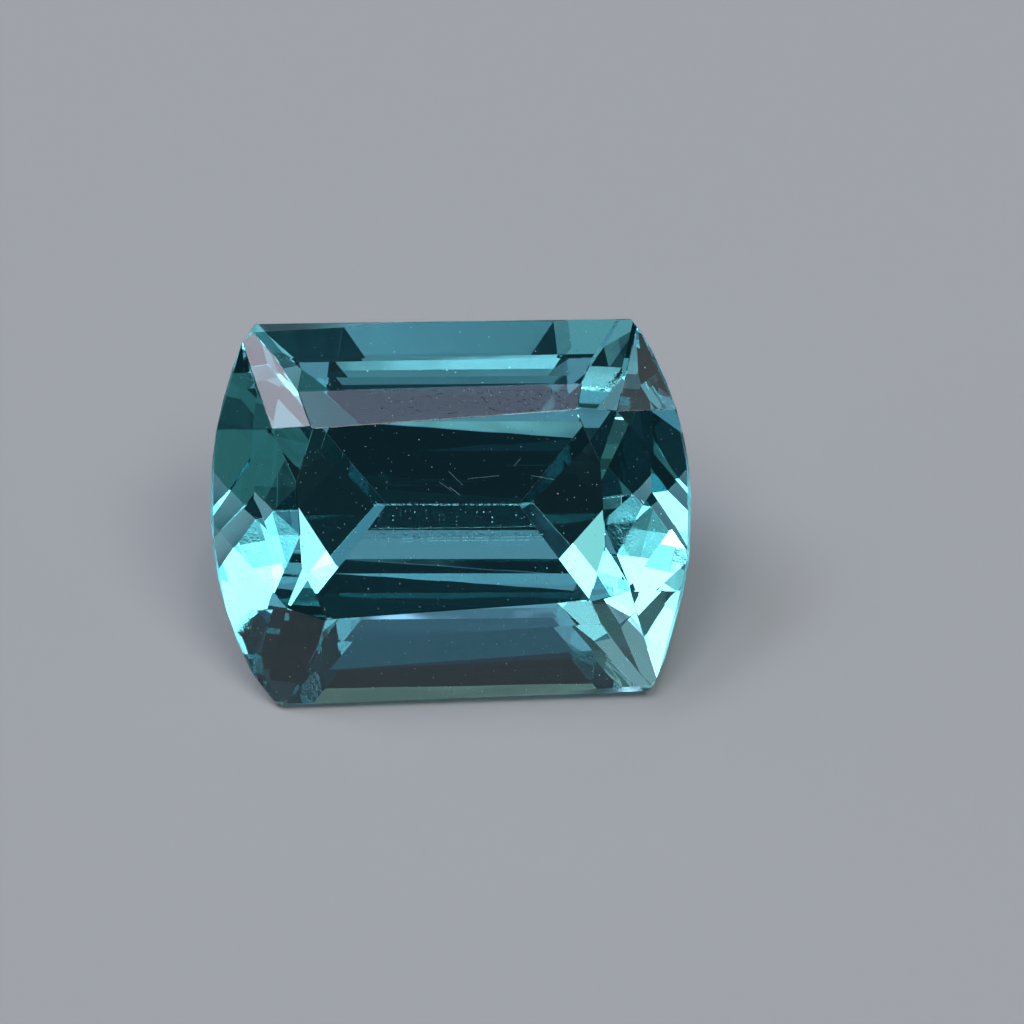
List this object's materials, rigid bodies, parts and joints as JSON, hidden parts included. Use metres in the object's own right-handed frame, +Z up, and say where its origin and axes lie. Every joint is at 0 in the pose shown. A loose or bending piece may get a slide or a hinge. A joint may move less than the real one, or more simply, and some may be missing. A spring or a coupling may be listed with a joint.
{
  "type": "cut tourmaline gemstone",
  "caption": "Loose barrel-cut tourmaline with a flat table, stepped sides, kite facets at bowed ends and a keeled pavilion, lying on a pavilion facet.",
  "frame": {"origin": "on the surface that the stone lies on, under the middle of its bounding box", "axes": "+X along the keel and the long sides of the table, +Z up, the table leans back and faces -Y and +Z"},
  "size_m": [0.012, 0.0072, 0.0073],
  "materials": {
    "tourmaline": "polished"
  },
  "bodies": {
    "root": {"gemstone": "tourmaline"}
  },
  "joints": []
}
